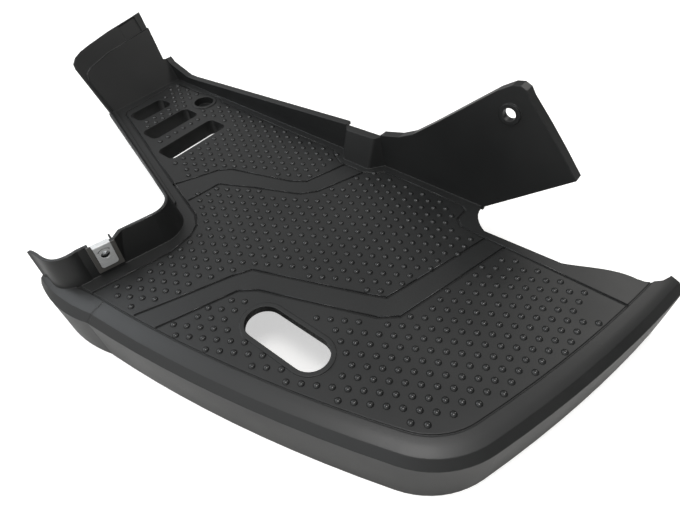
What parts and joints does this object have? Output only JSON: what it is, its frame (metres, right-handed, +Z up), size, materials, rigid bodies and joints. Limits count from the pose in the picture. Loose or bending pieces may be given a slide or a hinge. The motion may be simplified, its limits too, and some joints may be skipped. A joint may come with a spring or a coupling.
{
  "type": "motorbike footboard",
  "caption": "Left footboard in dark plastic: studded tread with slots, raised inner wall with a screw ear, steep front ramp, notch with a clip nut and a turned-down outer lip.",
  "frame": {"origin": "Axis of the floor screw hole, on the face that the screw's head sits on.", "axes": "+X runs forward to the ramp, +Y outward to the lip and +Z up through the tread."},
  "size_m": [0.6059, 0.2884, 0.164],
  "materials": {
    "plastic": "satin, finely grained",
    "steel": "zinc plated"
  },
  "bodies": {
    "root": {"footboard": "plastic", "clip_nut": "steel"}
  },
  "joints": []
}
